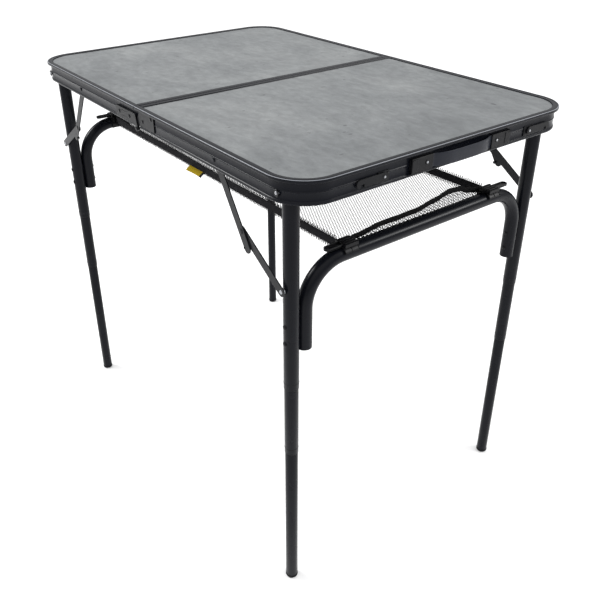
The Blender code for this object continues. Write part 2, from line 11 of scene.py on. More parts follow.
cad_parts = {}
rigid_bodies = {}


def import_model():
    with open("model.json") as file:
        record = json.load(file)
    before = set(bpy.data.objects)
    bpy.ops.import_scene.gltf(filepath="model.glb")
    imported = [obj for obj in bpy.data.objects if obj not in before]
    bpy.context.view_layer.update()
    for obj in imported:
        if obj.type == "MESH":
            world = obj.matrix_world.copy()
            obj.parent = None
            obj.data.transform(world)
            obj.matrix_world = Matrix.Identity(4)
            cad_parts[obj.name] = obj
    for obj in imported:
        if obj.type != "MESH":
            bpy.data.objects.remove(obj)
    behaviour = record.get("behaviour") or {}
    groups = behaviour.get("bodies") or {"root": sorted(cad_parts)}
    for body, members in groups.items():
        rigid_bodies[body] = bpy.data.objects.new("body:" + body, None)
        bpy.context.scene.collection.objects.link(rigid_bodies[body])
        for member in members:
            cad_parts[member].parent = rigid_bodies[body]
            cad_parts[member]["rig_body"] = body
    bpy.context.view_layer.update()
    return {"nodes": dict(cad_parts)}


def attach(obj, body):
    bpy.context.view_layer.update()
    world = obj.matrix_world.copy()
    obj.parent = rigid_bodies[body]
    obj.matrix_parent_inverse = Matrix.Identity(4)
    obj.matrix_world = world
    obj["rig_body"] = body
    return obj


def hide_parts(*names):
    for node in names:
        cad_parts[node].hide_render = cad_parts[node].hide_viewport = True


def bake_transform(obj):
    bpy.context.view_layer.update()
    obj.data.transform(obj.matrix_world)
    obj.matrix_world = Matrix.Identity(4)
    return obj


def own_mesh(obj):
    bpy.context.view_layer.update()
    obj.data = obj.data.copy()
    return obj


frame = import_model()
scene = bpy.context.scene

# top
LENGTH, WIDTH, HEIGHT = 0.900, 0.600, 0.800
RIM_DEPTH = 0.038
CORNER_R = 0.066
FACE_IN = 0.0060
WALL_IN = 0.0078
TRIM_W = 0.0110
LEDGE_IN = 0.0160
HALF_GAP = 0.0006
PANEL_TOP, PANEL_T = 0.7981, 0.0037
PANEL_IN = TRIM_W + 0.0003
LEDGE_TOP = 0.7941
FOLD_Z = 0.7610

# leg frames
LEG_X, LEG_Y, PIVOT_Z = 0.400, 0.2692, 0.776
UPPER_R, UPPER_BORE, UPPER_END, UPPER_TOP = 0.0123, 0.0118, 0.440, 0.7875
MIDDLE_R, MIDDLE_BORE, MIDDLE_END, MIDDLE_TOP = 0.0115, 0.01105, 0.306, 0.606
LOWER_R, LOWER_BORE, LOWER_END, LOWER_TOP = 0.01075, 0.0098, 0.0065, 0.345
FOOT_R, FOOT_TOP = 0.0111, 0.0220
ARCH_R, ARCH_BORE, ARCH_Y, ARCH_Z = 0.0123, 0.0108, 0.2443, 0.6455
ARCH_END_Z, ARCH_BEND = 0.507, 0.070
ARCH_RIVET_Z = (0.556, 0.526)

# knee braces
BRACE_LEG_Z = 0.620
MOUNT_X = LEG_X - (PIVOT_Z - BRACE_LEG_Z)
KNEE_IN = 0.0950
LINK_W, TAB_L = 0.0150, 0.028
UPPER_LINK_Y, LOWER_LINK_Y = (0.2885, 0.2905), (0.2860, 0.2880)

# end fittings
END_FACE = LENGTH / 2 - FACE_IN
END_MID_Y = 0.020
LATCH_HALF, LATCH_Z, LATCH_L, LATCH_BASE_W = 0.162, 0.7770, 0.052, 0.022
HANDLE_HALF, BRACKET_L = 0.110, 0.044
HANDLE_Z = (0.7672, 0.7900)
STRAP_BULGE = 0.0090

# mesh shelf
SHELF_X, SHELF_Y, SHELF_Z = 0.3825, 0.168, 0.6440
BAND_Z = (0.6450, 0.6630)
CLIP_Y, CLIP_W = 0.1640, 0.0280
NET_PITCH, NET_HOLE = 0.0052, 0.76
NET_SPLIT = 0.150
NET_SAG = 0.007

ENDS = ((1, "handle_half"), (-1, "far_half"))
SIDES = ((-1, "left"), (1, "right"))
ROUND = 56


class Finish:
    """A Principled material whose colour, roughness and relief come from noise in the object's own space."""

    def __init__(self, name, **sockets):
        self.material = bpy.data.materials.new(name)
        self.material.use_nodes = True
        self.tree = self.material.node_tree
        self.shader = self.tree.nodes["Principled BSDF"]
        for socket, value in sockets.items():
            self.shader.inputs[socket.replace("_", " ")].default_value = value
        self.place = self.node("TexCoord").outputs["Object"]
        self.normal = None

    def node(self, kind, settings=None, **inputs):
        made = self.tree.nodes.new("ShaderNode" + kind)
        for key, value in (settings or {}).items():
            setattr(made, key, value)
        for key, value in inputs.items():
            self.feed(made.inputs[key.replace("_", " ")], value)
        return made

    def feed(self, socket, value):
        if isinstance(value, bpy.types.NodeSocket):
            self.tree.links.new(value, socket)
        else:
            socket.default_value = value

    def noise(self, scale, detail=3.0, rough=0.5, stretch=(1, 1, 1), distortion=0.0):
        spot = self.node("Mapping", Vector=self.place, Scale=stretch).outputs[0]
        made = self.node("TexNoise", Vector=spot, Scale=scale, Detail=detail, Roughness=rough)
        made.inputs["Distortion"].default_value = distortion
        return made.outputs["Fac"]

    def bands(self, direction, scale, distortion=0.0):
        settings = {"wave_type": "BANDS", "bands_direction": direction, "wave_profile": "SIN"}
        made = self.node("TexWave", settings, Vector=self.place, Scale=scale, Distortion=distortion)
        return made.outputs["Fac"]

    def ramp(self, value, *stops):
        made = self.node("ValToRGB", Fac=value)
        elements = made.color_ramp.elements
        while len(elements) < len(stops):
            elements.new(0.5)
        for element, (position, colour) in zip(elements, stops):
            element.position = position
            element.color = (*colour, 1) if len(colour) == 3 else colour
        return made.outputs["Color"]

    def math(self, operation, a, b):
        made = self.node("Math", {"operation": operation})
        self.feed(made.inputs[0], a)
        self.feed(made.inputs[1], b)
        return made.outputs[0]

    def between(self, value, low, high, start=0.3, stop=0.7):
        made = self.node("MapRange", Value=value, From_Min=start, From_Max=stop, To_Min=low, To_Max=high)
        return made.outputs["Result"]

    def mix(self, factor, a, b, mode="MIX"):
        made = self.node("Mix", {"data_type": "RGBA", "blend_type": mode})
        self.feed(made.inputs[0], factor)
        self.feed(made.inputs[6], a)
        self.feed(made.inputs[7], b)
        return made.outputs[2]

    def relief(self, height, strength, distance):
        made = self.node("Bump", Height=height, Strength=strength, Distance=distance)
        if self.normal:
            self.tree.links.new(self.normal, made.inputs["Normal"])
        self.normal = made.outputs["Normal"]

    def done(self, colour, roughness):
        self.feed(self.shader.inputs["Base Color"], colour)
        self.feed(self.shader.inputs["Roughness"], roughness)
        if self.normal:
            self.feed(self.shader.inputs["Normal"], self.normal)
        return self.material


def concrete_print():
    """Grey concrete-look laminate: soft clouds, drawn-out trowel marks, small dark pores, fine grain."""
    made = Finish("concrete_print", Specular_IOR_Level=0.35)
    cloud = made.noise(4.2, 7, 0.62, (1, 1.25, 1), 0.35)
    trowel = made.noise(23, 6, 0.66, (0.55, 1.35, 1), 0.8)
    patch = made.noise(60, 5, 0.65, (0.8, 1.3, 1), 0.4)
    pore = made.noise(88, 2, 0.5, (1.0, 0.5, 1))
    grain = made.noise(900, 2, 0.6)
    dusk, mid, light = (0.109, 0.116, 0.120), (0.150, 0.158, 0.162), (0.193, 0.201, 0.203)
    colour = made.ramp(cloud, (0.30, dusk), (0.50, mid), (0.70, light))
    marks = made.ramp(trowel, (0.32, (0.34, 0.34, 0.345)), (0.68, (0.66, 0.66, 0.65)))
    colour = made.mix(0.40, colour, marks, "OVERLAY")
    mottle = made.ramp(patch, (0.32, (0.36, 0.36, 0.36)), (0.68, (0.64, 0.64, 0.64)))
    colour = made.mix(0.50, colour, mottle, "OVERLAY")
    dark = made.ramp(pore, (0.705, (1, 1, 1)), (0.745, (0.62, 0.62, 0.63)))
    colour = made.mix(1.0, colour, dark, "MULTIPLY")
    speckle = made.ramp(grain, (0.3, (0.2, 0.2, 0.2)), (0.7, (0.8, 0.8, 0.8)))
    colour = made.mix(0.12, colour, speckle, "OVERLAY")
    made.relief(grain, 0.10, 0.0002)
    made.relief(patch, 0.08, 0.0004)
    return made.done(colour, made.between(trowel, 0.50, 0.64))


def coated(name, deep, pale, gloss, relief=0.10, specular=0.20):
    """Satin powder coat: a fine orange peel, slow gloss changes and faint rub marks."""
    made = Finish(name, Specular_IOR_Level=specular)
    slow = made.noise(11, 4, 0.55)
    rub = made.noise(70, 5, 0.7, (1, 1, 0.22), 0.6)
    peel = made.noise(1500, 2, 0.5)
    colour = made.mix(made.between(slow, 0.0, 1.0), (*deep, 1), (*pale, 1))
    mark = made.ramp(rub, (0.62, (0, 0, 0)), (0.78, (1, 1, 1)))
    rubbed = (*[c * 2.2 for c in pale], 1)
    colour = made.mix(made.math("MULTIPLY", mark, 0.22), colour, rubbed)
    rough = made.math("ADD", made.between(slow, gloss, gloss + 0.08), made.math("MULTIPLY", mark, 0.08))
    made.relief(peel, relief, 0.0002)
    return made.done(colour, rough)


def steel(name, colour, gloss):
    made = Finish(name, Metallic=1.0)
    fine = made.noise(600, 3, 0.6)
    tone = made.mix(made.between(fine, 0.0, 1.0), (*[c * 0.75 for c in colour], 1), (*colour, 1))
    made.relief(fine, 0.12, 0.0002)
    return made.done(tone, made.between(made.noise(120, 3), gloss, gloss + 0.14))


def moulded(name, colour, gloss, grain=700, relief=0.2, sheen=0.0):
    made = Finish(name, Specular_IOR_Level=0.15, Sheen_Weight=sheen)
    texture = made.noise(grain, 3, 0.6)
    tone = made.mix(made.between(made.noise(45, 3), 0.0, 1.0), (*[c * 0.78 for c in colour], 1), (*colour, 1))
    made.relief(texture, relief, 0.0003)
    return made.done(tone, made.between(texture, gloss - 0.05, gloss + 0.07))


def woven(name, colour, across, along, pitch, sheen=0.15):
    """Plain-weave tape: two crossing rows of threads."""
    made = Finish(name, Specular_IOR_Level=0.12, Sheen_Weight=sheen)
    rows = made.math("MULTIPLY", made.bands(across, pitch, 0.4), made.bands(along, pitch, 0.4))
    fuzz = made.noise(1100, 3, 0.65)
    height = made.math("ADD", rows, made.math("MULTIPLY", fuzz, 0.5))
    tone = made.mix(made.between(height, 0.0, 1.0, 0.2, 1.0), (*[c * 0.5 for c in colour], 1), (*colour, 1))
    made.relief(height, 0.6, 0.0005)
    return made.done(tone, made.between(fuzz, 0.78, 0.92))


def floor_finish():
    made = Finish("studio_floor", Specular_IOR_Level=0.1)
    tone = made.mix(made.between(made.noise(1.5, 3), 0.0, 1.0), (0.93, 0.93, 0.93, 1), (0.95, 0.95, 0.95, 1))
    return made.done(tone, 0.85)


def closed_mesh(name, body, finishes, angle):
    bmesh.ops.remove_doubles(body, verts=body.verts, dist=1e-7)
    bmesh.ops.recalc_face_normals(body, faces=body.faces)
    mesh = bpy.data.meshes.new(name)
    body.to_mesh(mesh)
    body.free()
    for finish in finishes:
        mesh.materials.append(finish)
    mesh.shade_smooth()
    mesh.set_sharp_from_angle(angle=math.radians(angle))
    return mesh


def added(name, mesh):
    made = bpy.data.objects.new(name, mesh)
    scene.collection.objects.link(made)
    return made


def piece(name, body, finishes, on, stands_for=(), bevel=0.0, angle=35):
    """A shown piece that rides on a CAD body, takes a material slot, and may stand for CAD nodes."""
    made = added(name, closed_mesh(name, body, finishes, angle))
    if bevel:
        edges = made.modifiers.new("edges", "BEVEL")
        edges.width = bevel
        edges.segments = 2
        edges.limit_method = "ANGLE"
        edges.angle_limit = math.radians(38)
    if on:
        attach(made, on)
    if stands_for:
        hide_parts(*stands_for)
    return made


def face(body, corners, index=0):
    made = body.faces.new(corners)
    made.material_index = index
    return made


def box(body, low, high, index=0):
    corners = [
        [
            body.verts.new((x, y, z))
            for x, y in ((low[0], low[1]), (high[0], low[1]), (high[0], high[1]), (low[0], high[1]))
        ]
        for z in (low[2], high[2])
    ]
    face(body, corners[0][::-1], index)
    face(body, corners[1], index)
    for i in range(4):
        k = (i + 1) % 4
        face(body, [corners[0][i], corners[0][k], corners[1][k], corners[1][i]], index)


def side_box(body, side, low, high, index=0):
    """A box given by its distance out along Y, on the left or right side."""
    near, far = sorted((side * low[1], side * high[1]))
    box(body, (low[0], near, low[2]), (high[0], far, high[2]), index)


def turned(body, outline, start, axis, steps=ROUND, index=0):
    """A solid of revolution from (radius, distance along the axis) pairs."""
    axis = Vector(axis)
    side = axis.orthogonal().normalized()
    other = axis.cross(side)
    rings = []
    for radius, along in outline:
        centre = Vector(start) + axis * along
        if radius == 0:
            rings.append([body.verts.new(centre)])
            continue
        ring = []
        for i in range(steps):
            turn = 2 * math.pi * i / steps
            ring.append(body.verts.new(centre + radius * (math.cos(turn) * side + math.sin(turn) * other)))
        rings.append(ring)
    closed = outline[0][0] > 0
    for i in range(len(rings) if closed else len(rings) - 1):
        a, b = rings[i], rings[(i + 1) % len(rings)]
        for k in range(steps):
            m = (k + 1) % steps
            corners = [a[k % len(a)], a[m % len(a)], b[m % len(b)], b[k % len(b)]]
            face(body, list(dict.fromkeys(corners)), index)


def domed(body, start, axis, radius, height, seat=0.0006, steps=28, index=0):
    """A domed rivet head that stands on a surface at start, facing along axis, with a thin collar."""
    outline = [(0, height), (radius * 0.35, height * 0.97), (radius * 0.65, height * 0.84)]
    outline += [(radius * 0.88, height * 0.58), (radius, height * 0.22), (radius, -seat), (0, -seat)]
    turned(body, outline, start, axis, steps, index)


def prism(body, outline, axis, low, high, index=0):
    """Extrudes a closed outline along X (outline in Y, Z), Y (in X, Z) or Z (in X, Y)."""
    ends = []
    for at in (low, high):
        spots = {
            "X": [(at, a, b) for a, b in outline],
            "Y": [(a, at, b) for a, b in outline],
            "Z": [(a, b, at) for a, b in outline],
        }[axis]
        ends.append([body.verts.new(p) for p in spots])
    face(body, ends[0], index)
    face(body, ends[1][::-1], index)
    count = len(outline)
    for i in range(count):
        k = (i + 1) % count
        face(body, [ends[0][i], ends[1][i], ends[1][k], ends[0][k]], index)


def stadium(a, b, width, steps=14):
    """Outline of a bar from a to b with round ends."""
    a, b = Vector(a), Vector(b)
    along = (b - a).normalized()
    start = math.atan2(along.y, along.x)
    outline = []
    for centre, turn in ((b, start - math.pi / 2), (a, start + math.pi / 2)):
        for i in range(steps + 1):
            angle = turn + math.pi * i / steps
            outline.append((centre.x + width / 2 * math.cos(angle), centre.y + width / 2 * math.sin(angle)))
    return outline


def swept(body, rings, closed_section=True, index=0):
    """Skins a row of rings and caps both ends."""
    made = [[body.verts.new(p) for p in ring] for ring in rings]
    count = len(made[0])
    for first, second in zip(made, made[1:]):
        for i in range(count if closed_section else count - 1):
            k = (i + 1) % count
            face(body, [first[i], first[k], second[k], second[i]], index)
    return made


def carved(obj, low, high):
    """Cuts a box out of a closed piece."""
    body = bmesh.new()
    box(body, low, high)
    tool = added("tool", closed_mesh("tool", body, (), 30))
    change = obj.modifiers.new("cut", "BOOLEAN")
    change.operation = "DIFFERENCE"
    change.solver = "EXACT"
    change.object = tool
    result = bpy.data.meshes.new_from_object(obj.evaluated_get(bpy.context.evaluated_depsgraph_get()))
    obj.modifiers.clear()
    obj.data = result
    bpy.data.objects.remove(tool)
    result.shade_smooth()
    result.set_sharp_from_angle(angle=math.radians(35))


def rim_path(inset, steps=26):
    """Points of the +X half's open outline at a distance in from the lip edge, seam to seam."""
    radius = CORNER_R - inset
    x, y = LENGTH / 2 - CORNER_R, WIDTH / 2 - CORNER_R
    spots = [(HALF_GAP, -WIDTH / 2 + inset)]
    for centre, start in (((x, -y), -math.pi / 2), ((x, y), 0)):
        for i in range(steps + 1):
            turn = start + math.pi / 2 * i / steps
            spots.append((centre[0] + radius * math.cos(turn), centre[1] + radius * math.sin(turn)))
    spots.append((HALF_GAP, WIDTH / 2 - inset))
    return spots


def rim_section():
    """The rim extrusion: trim with a rolled lip, a stepped face with a rib, and a bottom bead."""
    ledge = HEIGHT - LEDGE_TOP
    return [
        (TRIM_W, 0.0009), (TRIM_W - 0.0002, 0.0005), (TRIM_W - 0.0006, 0.0003), (0.0042, 0.0003),
        (0.0038, 0.0005),
        (0.0035, 0.0007), (0.0031, 0.0007), (0.0028, 0.0004), (0.0024, 0.0001), (0.0019, 0.0), (0.0013, 0.0),
        (0.0008, 0.0001), (0.0004, 0.0004), (0.0001, 0.0009), (0.0, 0.0016), (0.0, 0.0036), (0.0001, 0.0043),
        (0.0005, 0.0049), (0.0011, 0.0053), (0.0018, 0.0055), (0.0048, 0.0059), (0.0055, 0.0061),
        (0.0059, 0.0065), (FACE_IN, 0.0071),
        (FACE_IN, 0.0176), (0.0058, 0.0181), (0.0054, 0.0185), (0.0051, 0.0190), (0.0051, 0.0197),
        (0.0054, 0.0202), (0.0058, 0.0206), (FACE_IN, 0.0211),
        (FACE_IN, 0.0325), (0.0057, 0.0330), (0.0051, 0.0335), (0.0046, 0.0341), (0.0044, 0.0348),
        (0.0044, 0.0366), (0.0046, 0.0374), (0.0051, 0.0379), (0.0056, RIM_DEPTH),
        (0.0085, RIM_DEPTH), (0.0085, RIM_DEPTH - 0.0022), (WALL_IN, RIM_DEPTH - 0.0029),
        (WALL_IN, ledge + 0.0015), (LEDGE_IN, ledge + 0.0015), (LEDGE_IN, ledge), (TRIM_W, ledge),
    ]


def mirrored(body, side, axis):
    if side < 0:
        scale = (-1, 1, 1) if axis == "X" else (1, -1, 1)
        bmesh.ops.scale(body, vec=scale, verts=body.verts)
        bmesh.ops.reverse_faces(body, faces=body.faces)
    return body


def rim_frame(end, half):
    section = rim_section()
    paths = [rim_path(inset) for inset, _ in section]
    body = bmesh.new()
    rings = []
    for i in range(len(paths[0])):
        rings.append([(*path[i], HEIGHT - drop) for path, (_, drop) in zip(paths, section)])
    made = swept(body, rings)
    # The three faces along the outer lip take a much lighter coat: a painted highlight standing in for the
    # bright line of light along the lip.
    for i, strip in enumerate(body.faces):
        if i % len(section) in (9, 10, 11):
            strip.material_index = 1
    face(body, made[0][::-1])
    face(body, made[-1])
    name = f"rim_{half}"
    rim = added(name, closed_mesh(name, mirrored(body, end, "X"), [FRAME_COAT, LIP_PAINTED_HIGHLIGHT], 35))
    for side in (-1, 1):
        near, far = sorted((side * 0.270, side * 0.310))
        carved(rim, (-0.0085, near, FOLD_Z - 0.01), (0.0085, far, 0.7685))
    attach(rim, half)
    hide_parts(f"rim_frame_{half}")
    rivets = bmesh.new()
    for side in (-1, 1):
        domed(rivets, (end * MOUNT_X, side * 0.2940, PIVOT_Z), (0, side, 0), 0.0042, 0.0017)
        domed(rivets, (end * MOUNT_X, side * 0.2922, PIVOT_Z), (0, -side, 0), 0.0026, 0.0031)
    piece(f"brace_mount_rivets_{half}", rivets, [FRAME_COAT], half)


def top_panel(end, half):
    outline = rim_path(PANEL_IN, 20)
    outline[0] = (PANEL_IN, outline[0][1])
    outline[-1] = (PANEL_IN, outline[-1][1])
    body = bmesh.new()
    prism(body, outline, "Z", PANEL_TOP - PANEL_T, PANEL_TOP)
    body = mirrored(body, end, "X")
    for item in body.faces:
        shown = item.normal.z > 0.5 or item.calc_center_median().z > PANEL_TOP - 0.0001
        item.material_index = 0 if shown else 1
    piece(f"panel_{half}", body, [CONCRETE, PANEL_EDGE], half, [f"top_panel_{half}"], 0.0003)


def seam_strip(end, half):
    ledge = LEDGE_TOP
    section = [
        (HALF_GAP, 0.7994), (HALF_GAP + 0.0002, 0.7998), (HALF_GAP + 0.0006, HEIGHT), (0.0022, HEIGHT),
        (0.0026, 0.7998), (0.0030, 0.7996), (0.0034, 0.7997), (TRIM_W - 0.0006, 0.7997),
        (TRIM_W - 0.0002, 0.7995), (TRIM_W, 0.7991), (TRIM_W, ledge), (TRIM_W, ledge - 0.0013),
        (0.0024, ledge - 0.0013), (0.0024, 0.7900), (HALF_GAP, 0.7900),
    ]
    reach = WIDTH / 2 - TRIM_W - 0.0003
    inner = WIDTH / 2 - LEDGE_IN - 0.0004
    body = bmesh.new()
    prism(body, section, "Y", -inner, inner)
    upper = [spot for spot in section if spot[1] > ledge - 0.0001]
    upper = upper[:-1] + [(TRIM_W, ledge + 0.0003), (HALF_GAP, ledge + 0.0003)]
    for side in (-1, 1):
        near, far = sorted((side * inner, side * reach))
        prism(body, upper, "Y", near, far)
    flange = [(TRIM_W, ledge), (LEDGE_IN, ledge), (LEDGE_IN, ledge - 0.0013), (TRIM_W, ledge - 0.0013)]
    prism(body, flange, "Y", -inner, inner)
    piece(f"seam_{half}", mirrored(body, end, "X"), [FRAME_COAT], half, [f"seam_strip_{half}"])


def hinge_eye(first, last, steps=18):
    spots = []
    for i in range(steps + 1):
        turn = math.radians(first + (last - first) * i / steps)
        spots.append((0.0048 * math.cos(turn), FOLD_Z + 0.0048 * math.sin(turn)))
    return spots


def hinge(side, hand):
    """Both leaves of a hinge with their rivets, on the long side, and the pin they turn on."""
    body = bmesh.new()
    outline = [(-0.0040, 0.7675), *hinge_eye(150, 390)]
    outline += [(0.0020, 0.7720), (-0.0016, 0.7848), (-0.0030, 0.7860)]
    outline += [(-0.0745, 0.7860), (-0.0762, 0.7853), (-0.0770, 0.7838), (-0.0770, 0.7690), (-0.0760, 0.7675)]
    prism(body, outline, "Y", side * 0.2962, side * 0.2984)
    side_box(body, side, (-0.0765, 0.2943, 0.7680), (-0.0150, 0.2974, 0.7855))
    side_box(body, side, (-0.0560, 0.2982, 0.7716), (-0.0330, 0.2988, 0.7724))
    side_box(body, side, (-0.0560, 0.2982, 0.7812), (-0.0330, 0.2988, 0.7820))
    for x in (-0.0640, -0.0250):
        domed(body, (x, side * 0.2984, 0.7768), (0, side, 0), 0.0036, 0.0012)
    name = f"hinge_leaf_far_half_{hand}"
    piece(f"hinge_far_{hand}", body, [DARK_STEEL], "far_half", [name], 0.0003)
    body = bmesh.new()
    outline = [(0.0610, 0.7690), (0.0610, 0.7915), (0.0602, 0.7930), (0.0588, 0.7935), (0.0125, 0.7935)]
    outline += [(0.0112, 0.7928), (-0.0016, 0.7757), (-0.0018, 0.7745), *hinge_eye(150, 390)]
    outline += [(0.0048, 0.7675), (0.0600, 0.7675)]
    prism(body, outline, "Y", side * 0.2943, side * 0.2959)
    for x, z in ((0.0200, 0.7770), (0.0510, 0.7885)):
        domed(body, (x, side * 0.2959, z), (0, side, 0), 0.0036, 0.0012)
    name = f"hinge_leaf_handle_half_{hand}"
    piece(f"hinge_near_{hand}", body, [DARK_STEEL], "handle_half", [name], 0.0003)
    body = bmesh.new()
    domed(body, (0, side * 0.2986, FOLD_Z), (0, side, 0), 0.0036, 0.0012)
    back = (0, -side, 0)
    shank = [(0, 0), (0.0022, 0), (0.0022, 0.0056), (0, 0.0056)]
    turned(body, shank, (0, side * 0.2986, FOLD_Z), back, 24)
    tail = [(0, 0), (0.0032, 0), (0.0034, 0.0004), (0.0034, 0.0010), (0, 0.0010)]
    turned(body, tail, (0, side * 0.2940, FOLD_Z), back, 24)
    piece(f"pin_{hand}", body, [DARK_STEEL], frame_body("hinge_pin_" + hand), [f"hinge_pin_{hand}"])


def frame_body(node):
    return frame["nodes"][node]["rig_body"]


def leg_stud(end, half, side, hand):
    """Pivot stud: a bright head on a dark washer outside the rim, its shank, shoulder and inner head."""
    name = f"leg_pivot_stud_{half}_{hand}"
    body = bmesh.new()
    start = (end * LEG_X, side * 0.2940, PIVOT_Z)
    out, back = (0, side, 0), (0, -side, 0)
    domed(body, start, out, 0.0027, 0.0016, 0.0002)
    ring = [(0.0027, -0.0002), (0.0058, -0.0002), (0.0058, 0.0004)]
    ring += [(0.0052, 0.0009), (0.0036, 0.0009), (0.0027, 0.0005)]
    turned(body, ring, start, out, 32, 1)
    turned(body, [(0, 0), (0.0030, 0), (0.0030, 0.0376), (0, 0.0376)], start, back, 24)
    turned(body, [(0.0029, 0.0072), (0.0066, 0.0072), (0.0066, 0.0122), (0.0029, 0.0122)], start, back, 32)
    domed(body, (end * LEG_X, side * (0.2952 - 0.0386), PIVOT_Z), back, 0.0050, 0.0024)
    piece(f"stud_{half}_{hand}", body, [STEEL, DARK_STEEL], frame_body(name), [name])


def tube_outline(radius, bore, length):
    return [
        (bore, 0.0001), (bore + 0.0001, 0), (radius - 0.0003, 0), (radius - 0.0001, 0.0002), (radius, 0.0006),
        (radius, length * 0.5), (radius, length - 0.0006), (radius - 0.0001, length - 0.0002),
        (radius - 0.0003, length), (bore, length),
    ]


def collar(body, x, y, z, radius, bore, height=0.0100):
    """Moulded sleeve pressed into a tube's mouth, with a fine groove at each end."""
    outline = [
        (bore, -0.0012), (radius - 0.0004, -0.0012), (radius - 0.0001, -0.0008), (radius - 0.0001, -0.0001),
        (bore, -0.0001),
    ]
    turned(body, outline, (x, y, z), (0, 0, 1), ROUND)
    proud = radius + 0.00025
    ring = [(radius - 0.0001, height), (proud, height + 0.0003)]
    ring += [(proud, height + 0.0007), (radius - 0.0001, height + 0.0010)]
    turned(body, ring, (x, y, z), (0, 0, 1), ROUND)


def leg(end, half, side, hand):
    x, y = end * LEG_X, side * LEG_Y
    out = (0, side, 0)
    body = bmesh.new()
    turned(body, tube_outline(UPPER_R, UPPER_BORE, UPPER_TOP - UPPER_END), (x, y, UPPER_END), (0, 0, 1))
    for z in ARCH_RIVET_Z:
        domed(body, (x, side * (LEG_Y + UPPER_R - 0.0004), z), out, 0.0044, 0.0022, index=1)
    name = f"upper_leg_{half}_{hand}"
    piece(f"leg_upper_{half}_{hand}", body, [TUBE_COAT, DARK_STEEL], frame_body(name), [name])
    body = bmesh.new()
    collar(body, x, y, UPPER_END, UPPER_R, MIDDLE_R + 0.0002)
    piece(f"leg_sleeve_{half}_{hand}", body, [NYLON], frame_body(name))
    body = bmesh.new()
    turned(body, tube_outline(MIDDLE_R, MIDDLE_BORE, MIDDLE_TOP - MIDDLE_END), (x, y, MIDDLE_END), (0, 0, 1))
    name = f"middle_leg_{half}_{hand}"
    piece(f"leg_middle_{half}_{hand}", body, [TUBE_COAT], frame_body(name), [name])
    body = bmesh.new()
    collar(body, x, y, MIDDLE_END, MIDDLE_R, LOWER_R + 0.0002)
    piece(f"leg_lower_sleeve_{half}_{hand}", body, [NYLON], frame_body(name))
    body = bmesh.new()
    turned(body, tube_outline(LOWER_R, LOWER_BORE, LOWER_TOP - LOWER_END), (x, y, LOWER_END), (0, 0, 1))
    name = f"lower_leg_{half}_{hand}"
    piece(f"leg_lower_{half}_{hand}", body, [TUBE_COAT], frame_body(name), [name])
    body = bmesh.new()
    plug = LOWER_BORE - 0.0002
    outline = [
        (0, 0.0005), (0.0046, 0.0005), (0.0049, 0.0), (FOOT_R - 0.0034, 0.0), (FOOT_R - 0.0026, 0.0002),
        (FOOT_R - 0.0018, 0.0006), (FOOT_R - 0.0010, 0.0012), (FOOT_R - 0.0005, 0.0019),
        (FOOT_R - 0.0001, 0.0029), (FOOT_R, 0.0038), (FOOT_R, LOWER_END - 0.0003), (plug, LOWER_END - 0.0003),
        (plug, FOOT_TOP - 0.0010), (plug - 0.0010, FOOT_TOP), (0, FOOT_TOP),
    ]
    turned(body, outline, (x, y, 0), (0, 0, 1))
    name = f"foot_cap_{half}_{hand}"
    piece(f"foot_{half}_{hand}", body, [RUBBER], frame_body(name), [name])


def arch(end, half):
    """Bent tube between the two legs of a frame, with its rivet heads."""
    y, z = ARCH_Y - ARCH_BEND, ARCH_Z - ARCH_BEND
    line = [(-ARCH_Y, ARCH_END_Z, math.pi / 2)]
    steps = 24
    for i in range(steps + 1):
        turn = math.pi / 2 * i / steps
        line.append((-y - ARCH_BEND * math.cos(turn), z + ARCH_BEND * math.sin(turn), math.pi / 2 - turn))
    for i in range(steps + 1):
        turn = math.pi / 2 * i / steps
        line.append((y + ARCH_BEND * math.sin(turn), z + ARCH_BEND * math.cos(turn), -turn))
    line.append((ARCH_Y, ARCH_END_Z, -math.pi / 2))
    body = bmesh.new()
    layers = []
    for radius in (ARCH_R, ARCH_BORE):
        rings = []
        for py, pz, heading in line:
            side = Vector((0, -math.sin(heading), math.cos(heading)))
            centre = Vector((end * LEG_X, py, pz))
            ring = []
            for i in range(ROUND):
                turn = 2 * math.pi * i / ROUND
                ring.append(centre + radius * (math.cos(turn) * side + math.sin(turn) * Vector((1, 0, 0))))
            rings.append(ring)
        layers.append(swept(body, rings))
    for at in (0, -1):
        outer, inner = layers[0][at], layers[1][at]
        for i in range(ROUND):
            k = (i + 1) % ROUND
            face(body, [outer[i], outer[k], inner[k], inner[i]])
    for side in (-1, 1):
        for rivet_z in ARCH_RIVET_Z:
            seat = (end * LEG_X, side * (ARCH_Y - ARCH_R + 0.0003), rivet_z)
            domed(body, seat, (0, -side, 0), 0.0038, 0.0015, index=1)
    name = f"arch_tube_{half}"
    piece(f"arch_{half}", body, [TUBE_COAT, DARK_STEEL], frame_body(name), [name])


